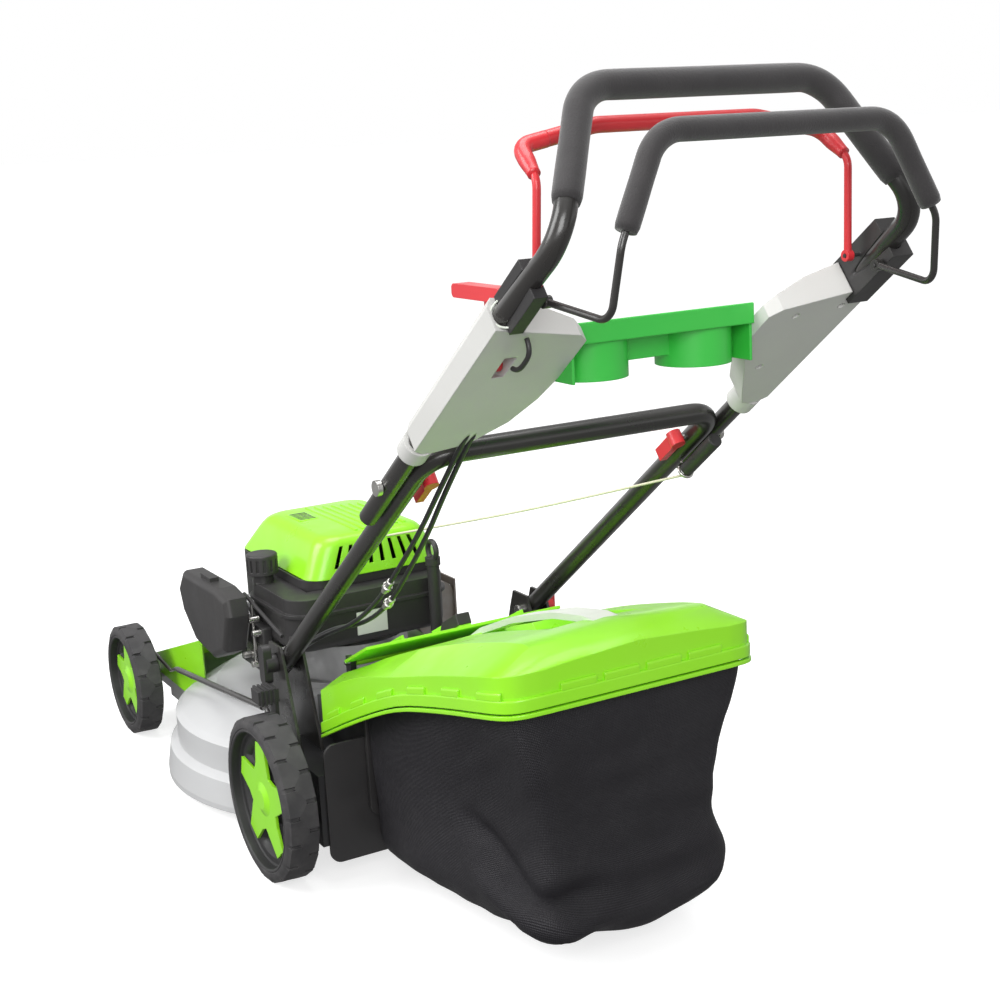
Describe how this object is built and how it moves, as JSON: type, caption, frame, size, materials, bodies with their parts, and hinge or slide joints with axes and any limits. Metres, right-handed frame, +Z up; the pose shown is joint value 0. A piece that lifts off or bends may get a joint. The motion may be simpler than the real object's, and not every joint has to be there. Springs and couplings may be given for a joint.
{
  "type": "push lawn mower",
  "caption": "Petrol walk-behind lawn mower with round steel deck, rear grass catcher, folding handle, bail levers and star-capped wheels.",
  "frame": {"origin": "on the ground, below the middle of the whole mower", "axes": "+X to the operator's right, +Y forward to the front wheels, +Z up"},
  "size_m": [0.576, 1.4956, 0.999],
  "materials": {
    "green_plastic": "gloss",
    "black_plastic": "matte",
    "deck_silver": "satin paint",
    "grey_plastic": "matte",
    "red_plastic": "gloss",
    "white_plastic": "matte",
    "black_tube": "powder coat",
    "steel": "zinc plated",
    "casting": "cast",
    "exhaust": "heat dulled",
    "foam": "foam",
    "tyre": "moulded",
    "cloth": "mesh weave",
    "cord": "braided",
    "cable": "sheath"
  },
  "bodies": {
    "deck": {"gearbox": "black_plastic", "drive_belt": "foam", "deck_shell": "deck_silver", "front_trim": "green_plastic", "trailing_shield": "black_plastic", "flap_rod": "steel", "crankcase": "casting", "cylinder": "casting", "muffler": "exhaust", "blower_housing": "black_plastic", "engine_hood": "green_plastic", "fuel_tank": "black_plastic", "oil_tube": "black_plastic", "carburettor": "casting", "air_filter_cover": "black_plastic", "control_bracket": "steel", "handle_brackets": "black_tube", "lower_handle": "black_tube", "handle_bolts": "steel", "cables": "cable", "starter_rope": "cord"},
    "wheel_rear_left": {"wheel_rear_left": "tyre", "hub_cap_rear_left": "green_plastic"},
    "wheel_rear_right": {"wheel_rear_right": "tyre", "hub_cap_rear_right": "green_plastic"},
    "wheel_front_left": {"wheel_front_left": "tyre", "hub_cap_front_left": "green_plastic"},
    "wheel_front_right": {"wheel_front_right": "tyre", "hub_cap_front_right": "green_plastic"},
    "rear_axle": {"rear_axle_frame": "black_tube", "height_lever": "black_plastic"},
    "front_axle": {"front_axle_frame": "black_tube"},
    "link": {"link_rod": "black_tube"},
    "shaft": {"drive_shaft": "steel"},
    "rotor": {"crankshaft": "steel", "flywheel": "casting", "blade_adapter": "steel", "blade": "steel"},
    "upper": {"upper_handle": "black_tube", "grip_foam": "foam", "left_panel": "grey_plastic", "right_panel": "grey_plastic", "cup_tray": "green_plastic", "bail_brackets": "black_plastic"},
    "throttle": {"throttle_lever": "red_plastic"},
    "stop": {"stop_bail": "red_plastic"},
    "drive": {"drive_bail": "black_tube", "drive_bail_foam": "foam"},
    "flap": {"rear_flap": "green_plastic"},
    "catcher": {"bag_lid": "green_plastic", "lid_handle": "white_plastic", "bag_frame": "black_plastic", "bag_cloth": "cloth"},
    "cap": {"fuel_cap": "black_plastic"},
    "stick": {"dipstick": "black_plastic"},
    "grip": {"starter_grip": "black_plastic"},
    "knob_l": {"knob_left": "black_plastic"},
    "knob_r": {"knob_right": "red_plastic"},
    "cam_l": {"cam_lever_left": "red_plastic"},
    "cam_r": {"cam_lever_right": "red_plastic"}
  },
  "joints": [
    {"name": "rear_axle_swing", "type": "hinge", "parent": "deck", "child": "rear_axle", "pos_m": [0, 0.04881, 0.095], "axis": [1, 0, 0], "range_deg": [0, 30]},
    {"name": "front_axle_swing", "type": "hinge", "parent": "deck", "child": "front_axle", "pos_m": [0, 0.70081, 0.075], "axis": [1, 0, 0], "range_deg": [0, 30]},
    {"name": "link_pivot", "type": "hinge", "parent": "rear_axle", "child": "link", "pos_m": [-0.2256, 0.04881, 0.155], "axis": [1, 0, 0], "range_deg": [-30, 0]},
    {"name": "shaft_spin", "type": "hinge", "parent": "deck", "child": "shaft", "pos_m": [0, 0.04881, 0.095], "axis": [1, 0, 0], "continuous": true},
    {"name": "rotor_spin", "type": "hinge", "parent": "deck", "child": "rotor", "pos_m": [0, 0.32081, 0.2], "axis": [0, 0, 1], "continuous": true},
    {"name": "handle_fold", "type": "hinge", "parent": "deck", "child": "upper", "pos_m": [0, -0.32312, 0.57677], "axis": [-1, 0, 0], "range_deg": [0, 130], "deforming": ["cables"]},
    {"name": "throttle_swing", "type": "hinge", "parent": "upper", "child": "throttle", "pos_m": [-0.19, -0.52219, 0.728], "axis": [1, 0, 0], "range_deg": [-8, 5]},
    {"name": "stop_bail_swing", "type": "hinge", "parent": "upper", "child": "stop", "pos_m": [0, -0.60619, 0.806], "axis": [1, 0, 0], "range_deg": [0, 14], "stiffness_Nm_per_rad": 1, "springref_deg": -20.05},
    {"name": "drive_bail_swing", "type": "hinge", "parent": "upper", "child": "drive", "pos_m": [0, -0.63919, 0.797], "axis": [-1, 0, 0], "range_deg": [0, 12]},
    {"name": "flap_swing", "type": "hinge", "parent": "deck", "child": "flap", "pos_m": [0, 0.01581, 0.266], "axis": [-1, 0, 0], "range_deg": [0, 80]},
    {"name": "catcher_lift", "type": "slide", "parent": "deck", "child": "catcher", "axis": [0, -0.9701, 0.2425], "range_m": [0, 0.35]},
    {"name": "fuel_cap_turn", "type": "hinge", "parent": "deck", "child": "cap", "pos_m": [-0.138, 0.29781, 0.335], "axis": [0, 0, 1], "range_deg": [0, 90]},
    {"name": "dipstick_pull", "type": "slide", "parent": "deck", "child": "stick", "axis": [0, 0, 1], "range_m": [0, 0.12]},
    {"name": "starter_pull", "type": "slide", "parent": "deck", "child": "grip", "axis": [0, -1, 0], "range_m": [0, 0.4]},
    {"name": "knob_left_turn", "type": "hinge", "parent": "deck", "child": "knob_l", "pos_m": [-0.212, 0.08781, 0.263], "axis": [1, 0, 0], "continuous": true},
    {"name": "knob_right_turn", "type": "hinge", "parent": "deck", "child": "knob_r", "pos_m": [0.212, 0.08781, 0.263], "axis": [1, 0, 0], "continuous": true},
    {"name": "cam_left_flip", "type": "hinge", "parent": "deck", "child": "cam_l", "pos_m": [-0.1671, -0.32312, 0.57677], "axis": [0, -0.6069, -0.7948], "range_deg": [0, 90]},
    {"name": "cam_right_flip", "type": "hinge", "parent": "deck", "child": "cam_r", "pos_m": [0.1671, -0.32312, 0.57677], "axis": [0, 0.6069, 0.7948], "range_deg": [0, 90]},
    {"name": "rear_left_spin", "type": "hinge", "parent": "rear_axle", "child": "wheel_rear_left", "pos_m": [-0.25, 0.00581, 0.11], "axis": [1, 0, 0], "continuous": true},
    {"name": "rear_right_spin", "type": "hinge", "parent": "rear_axle", "child": "wheel_rear_right", "pos_m": [0.25, 0.00581, 0.11], "axis": [1, 0, 0], "continuous": true},
    {"name": "front_left_spin", "type": "hinge", "parent": "front_axle", "child": "wheel_front_left", "pos_m": [-0.25, 0.65781, 0.09], "axis": [1, 0, 0], "continuous": true},
    {"name": "front_right_spin", "type": "hinge", "parent": "front_axle", "child": "wheel_front_right", "pos_m": [0.25, 0.65781, 0.09], "axis": [1, 0, 0], "continuous": true}
  ],
  "couplings": [
    {"joint": "front_axle_swing", "follows": "rear_axle_swing", "ratio": 1},
    {"joint": "link_pivot", "follows": "rear_axle_swing", "ratio": -1}
  ]
}
